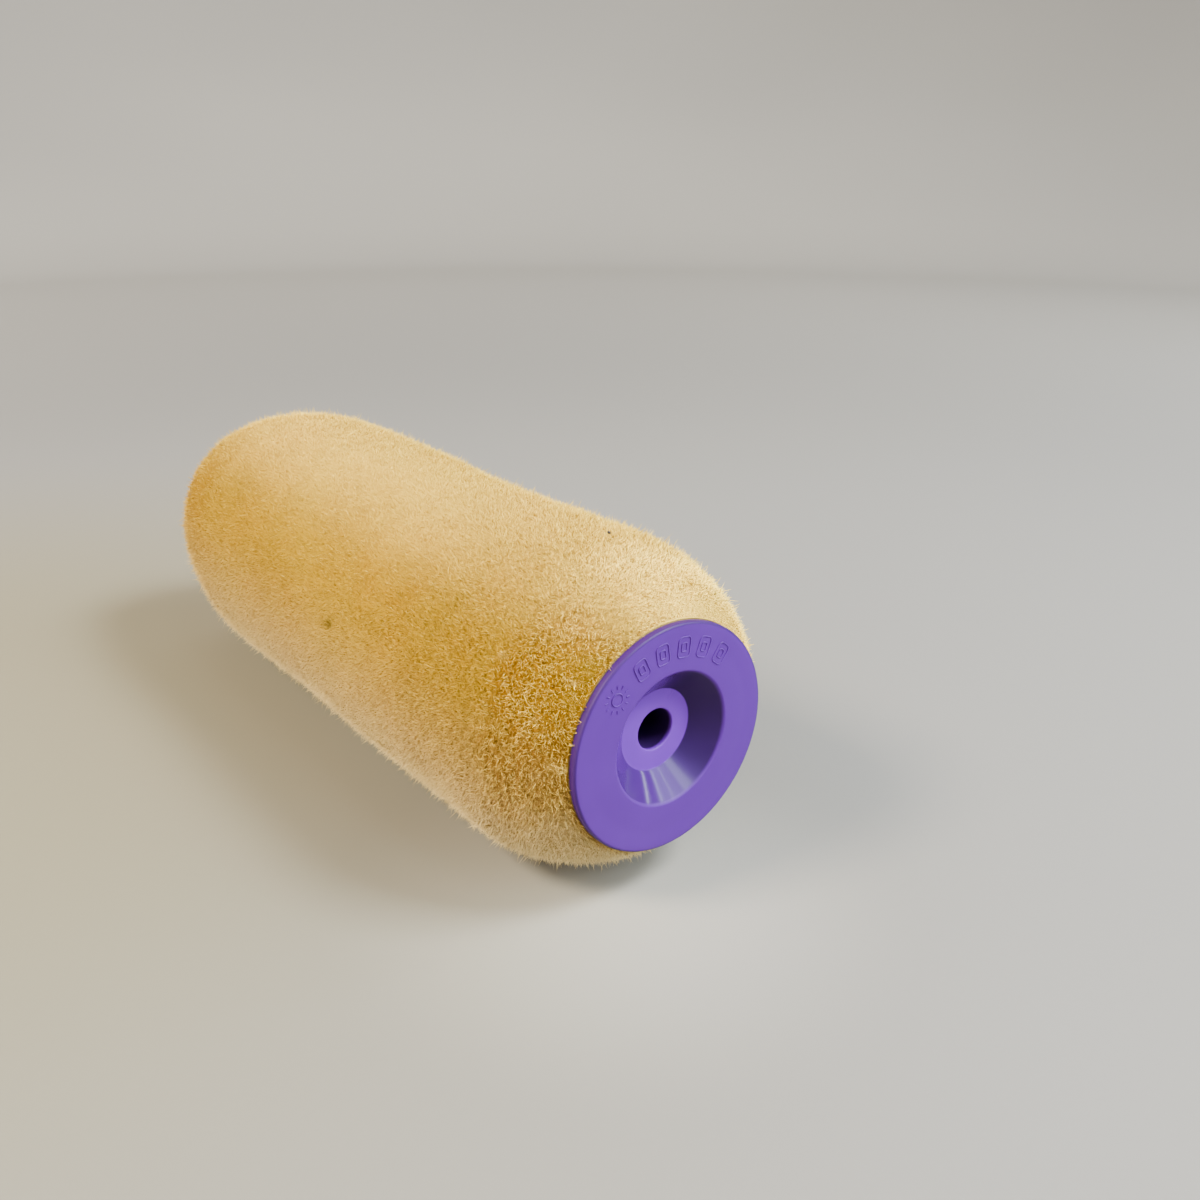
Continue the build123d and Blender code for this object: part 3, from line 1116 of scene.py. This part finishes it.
# Painted light: where the front end nears the floor, and how far from there the floor is painted lighter in
# place of room light reaching in under it.
LIT_UNDER_FRONT = (-0.008, -0.086, REST_HEIGHT)
LIT_UNDER_FRONT_REACH = 0.06


def add_area(name, toward, distance, size, power, colour):
    """An area light that shines at the roller from a direction."""
    lamp = bpy.data.lights.new(name, "AREA")
    lamp.shape = "RECTANGLE"
    lamp.size, lamp.size_y = size
    lamp.energy = power
    lamp.color = colour
    made = bpy.data.objects.new(name, lamp)
    direction = Vector(toward).normalized()
    made.location = direction * distance
    made.rotation_euler = (-direction).to_track_quat("-Z", "Y").to_euler()
    bpy.context.scene.collection.objects.link(made)
    return made


def build_stage(stage, right):
    """A pale seamless floor that curves up to a backdrop all round."""
    paint = Paint("seamless paper", Roughness=0.8)
    cloud = paint.noise(3.0, detail=2)
    fibre = paint.noise(600, detail=3)
    here = paint.node("ShaderNodeTexCoord", output="Object")
    away = paint.node("ShaderNodeVectorMath", {"operation": "LENGTH"}, [here], output="Value")
    # Painted light: the far floor and backdrop are lighter, more so in a ring from about 0.35 to 1.45 m out.
    tone = (cloud - 0.5) * 0.04 + 1.0 + (fibre - 0.5) * 0.03 + away.step(0.35, 1.3) * 0.85
    tone = tone + (away.step(0.35, 0.95) - away.step(1.10, 1.45)) * 0.24
    rightward = paint.node(
        "ShaderNodeVectorMath", {"operation": "DOT_PRODUCT"}, [here, right], output="Value"
    )
    far = away.step(0.6, 1.4)
    light_patches = paint.noise(1.6, detail=1, stretch=(1.0, 1.0, 2.5))
    # Painted light and shade: the far backdrop and the floor to the right are darker, and the far backdrop
    # has soft lighter and darker patches.
    tone = tone - far * rightward.step(-0.1, 1.0) * 0.55 - rightward.step(0.1, 0.9) * 0.10
    tone = tone + far * (light_patches - 0.5) * 0.5
    # Painted bounce light: the floor beside the pile is tinted warm.
    warm = 1 - paint.distance_from(BOUNCE_TINT_CENTRE).step(*BOUNCE_TINT_REACH)
    # Painted light: the floor under the front end is lightened.
    tone = tone + (1 - paint.distance_from(LIT_UNDER_FRONT).step(0.0, LIT_UNDER_FRONT_REACH)) * 0.60
    colour = paint.mix(warm, stage.floor_colour, stage.bounce_tint_colour)
    material = paint.finish(
        Base_Color=paint.mix(1.0, colour, paint.grey(tone), "MULTIPLY"),
        Normal=paint.bump(fibre, 0.05, 0.0002),
    )
    count = 96
    rings = [floor_ring(stage, radius, count) for radius in FLOOR_RADII]
    mesh = shell_of_rings("seamless_floor", rings, closed=False)
    mesh.flip_normals()
    mesh.shade_smooth()
    floor = new_object("seamless_floor", mesh, material)


def floor_ring(stage, radius, count):
    """One ring of the floor. Beyond the flat part its far side sweeps up as a backdrop."""
    ring = []
    rise = smoothstep(FLOOR_FLAT, FLOOR_RADII[-1] + 0.5, radius) * 2 * BACKDROP_LIFT
    for j in range(count):
        turn = 2 * math.pi * j / count
        ahead = math.cos(turn - (math.pi / 2 - stage.azimuth))
        lift = rise * smoothstep(-0.2, 0.6, ahead)
        ring.append((radius * math.cos(turn), radius * math.sin(turn), REST_HEIGHT + lift))
    return ring


def build_world():
    """Light of the room: dim where the front cap looks, and bright on the other sides."""
    world = bpy.data.worlds.new("room")
    world.use_nodes = True
    tree = world.node_tree
    back = tree.nodes["Background"]
    seen = tree.nodes.new("ShaderNodeTexCoord")
    along = tree.nodes.new("ShaderNodeVectorMath")
    along.operation = "DOT_PRODUCT"
    along.inputs[1].default_value = (0, 1, 0)
    tree.links.new(seen.outputs["Generated"], along.inputs[0])
    spread = tree.nodes.new("ShaderNodeMapRange")
    spread.interpolation_type = "SMOOTHSTEP"
    spread.inputs["From Min"].default_value = -0.30
    spread.inputs["From Max"].default_value = 0.30
    spread.inputs["To Min"].default_value = 0.30
    spread.inputs["To Max"].default_value = 0.85
    tree.links.new(along.outputs["Value"], spread.inputs["Value"])
    path = tree.nodes.new("ShaderNodeLightPath")
    shown = tree.nodes.new("ShaderNodeMix")
    shown.inputs["B"].default_value = 0.55
    tree.links.new(path.outputs["Is Camera Ray"], shown.inputs["Factor"])
    tree.links.new(spread.outputs["Result"], shown.inputs["A"])
    tree.links.new(shown.outputs["Result"], back.inputs["Strength"])
    back.inputs["Color"].default_value = (1.0, 0.94, 0.84, 1.0)
    bpy.context.scene.world = world


def aim_camera(stage):
    """The camera, placed from its heading, its pitch and where the front cap stands in its view."""
    a, p = stage.azimuth, stage.pitch
    right = Vector((math.cos(a), -math.sin(a), 0))
    ahead = Vector((math.cos(p) * math.sin(a), math.cos(p) * math.cos(a), -math.sin(p)))
    down = Vector((-math.sin(p) * math.sin(a), -math.sin(p) * math.cos(a), -math.cos(p)))
    cap_centre = Vector((0, -OUTER_FACE, 0))
    lens = bpy.data.cameras.new("camera")
    lens.sensor_width = 36.0
    lens.lens = stage.lens
    lens.clip_start = 0.01
    lens.clip_end = 20.0
    camera = bpy.data.objects.new("camera", lens)
    camera.location = cap_centre - right * stage.aim_right - down * stage.aim_down - ahead * stage.distance
    camera.rotation_euler = ahead.to_track_quat("-Z", "Y").to_euler()
    bpy.context.scene.collection.objects.link(camera)
    bpy.context.scene.camera = camera
    return right, Vector((math.sin(a), math.cos(a), 0))


# ---------------------------------------------------------------- operators


class ROLLER_OT_pile(bpy.types.Operator):
    """Build the pile: its dense depth and the loose fibre ends on it"""

    bl_idname = "roller.pile"
    bl_label = "Build pile"

    def execute(self, context):
        pile = context.scene.roller_pile
        claim(build_skin(pile), "pile", "cover_pile")
        claim(build_speck(pile), "pile")
        for piece in build_fibres(pile):
            claim(piece, "pile")
        return {"FINISHED"}


class ROLLER_OT_caps(bpy.types.Operator):
    """Build the two moulded end caps"""

    bl_idname = "roller.caps"
    bl_label = "Build caps"

    def execute(self, context):
        cap = context.scene.roller_cap
        material = cap_material(cap)
        claim(build_cap(cap, material, "front_cap", -1), "cap", "front_end_cap")
        claim(build_cap(cap, material, "rear_cap", 1), "cap", "rear_end_cap")
        tree = relief_tree()
        claim(build_relief(cap, tree, material, "front_relief", 0.0), "cap")
        claim(build_relief(cap, tree, material, "rear_relief", math.pi), "cap")
        return {"FINISHED"}


class ROLLER_OT_core(bpy.types.Operator):
    """Give the core, the bonding film and the backing their finishes"""

    bl_idname = "roller.core"
    bl_label = "Finish core"

    def execute(self, context):
        finishes = {
            "core_inner_ply": plain_material("core plastic", (0.42, 0.42, 0.41), 0.45, 240, 0.2),
            "core_outer_ply": plain_material("core plastic outer", (0.43, 0.43, 0.42), 0.45, 240, 0.2),
            "bonding_film": plain_material("melted film", (0.44, 0.43, 0.39), 0.30, 500, 0.5),
            "cover_backing": plain_material(
                "knitted backing", (0.24, 0.15, 0.035), 0.90, 1400, 0.9, (1.0, 0.35, 1.0)
            ),
        }
        for node, material in finishes.items():
            slots = frame["nodes"][node].material_slots
            for slot in slots:
                slot.material = material
        return {"FINISHED"}


class ROLLER_OT_stage(bpy.types.Operator):
    """Build the floor, the lights and the camera"""

    bl_idname = "roller.stage"
    bl_label = "Build stage"

    def execute(self, context):
        stage = context.scene.roller_stage
        right, ahead = aim_camera(stage)
        build_stage(stage, right)
        build_world()
        up = Vector((0, 0, 1))
        cool, warm = (0.82, 0.90, 1.0), (1.0, 0.93, 0.82)
        lamps = [("window", right * 0.86 - ahead * 0.42 + up * 0.50, 1.15, (1.1, 0.9), 33, (0.70, 0.84, 1.0))]
        for i, power in ((-1, 1.4), (0, 2.0), (1, 4)):
            toward = right * 0.95 + ahead * (0.27 * i - 0.02) + up * 0.56
            lamps.append((f"window pane {i + 2}", toward, 1.1, (0.05, 0.7), power, (0.75, 0.88, 1.0)))
        front = right * -0.55 - ahead * 0.8 + up * 0.14
        behind = right * 0.25 - ahead * 0.45 + up * 0.75
        lamps += [
            ("window top", right * 0.61 - ahead * 0.17 + up * 0.78, 1.1, (0.34, 0.26), 42, cool),
            ("overhead", ahead * 0.45 + up, 1.3, (1.2, 1.0), 8, (1.0, 0.92, 0.80)),
            ("left lamp", (-0.69, 0.12, 0.72), 1.2, (0.3, 0.3), 43, (1.0, 0.90, 0.74)),
            ("side fill", (-1.0, 0.50, 0.24), 1.2, (0.9, 0.4), 12, warm),
            ("front fill", front, 1.2, (0.8, 0.25), 13, (1.0, 0.95, 0.88)),
            ("lamp behind", behind, 1.0, (0.12, 0.12), 1.0, (1.0, 0.98, 0.96)),
        ]
        for lamp in lamps:
            add_area(*lamp)
        return {"FINISHED"}


class ROLLER_PT_panel(bpy.types.Panel):
    """Lists the roller's settings and the operators that build it"""

    bl_label = "Paint Roller Refill"
    bl_idname = "ROLLER_PT_panel"
    bl_space_type = "VIEW_3D"
    bl_region_type = "UI"
    bl_category = "Roller"

    def draw(self, context):
        groups = (
            (context.scene.roller_pile, ROLLER_OT_pile),
            (context.scene.roller_cap, ROLLER_OT_caps),
            (None, ROLLER_OT_core),
            (context.scene.roller_stage, ROLLER_OT_stage),
        )
        for settings, operator in groups:
            box = self.layout.box()
            for name in getattr(settings, "__annotations__", {}):
                box.prop(settings, name)
            box.operator(operator.bl_idname)


CLASSES = (
    PileSettings,
    CapSettings,
    StageSettings,
    ROLLER_OT_pile,
    ROLLER_OT_caps,
    ROLLER_OT_core,
    ROLLER_OT_stage,
    ROLLER_PT_panel,
)


def register():
    for cls in CLASSES:
        bpy.utils.register_class(cls)
    bpy.types.Scene.roller_pile = PointerProperty(type=PileSettings)
    bpy.types.Scene.roller_cap = PointerProperty(type=CapSettings)
    bpy.types.Scene.roller_stage = PointerProperty(type=StageSettings)


def unregister():
    del bpy.types.Scene.roller_stage
    del bpy.types.Scene.roller_cap
    del bpy.types.Scene.roller_pile
    for cls in reversed(CLASSES):
        bpy.utils.unregister_class(cls)


def main():
    register()
    bpy.ops.roller.stage()
    bpy.ops.roller.core()
    bpy.ops.roller.caps()
    bpy.ops.roller.pile()


if __name__ == "__main__":
    main()
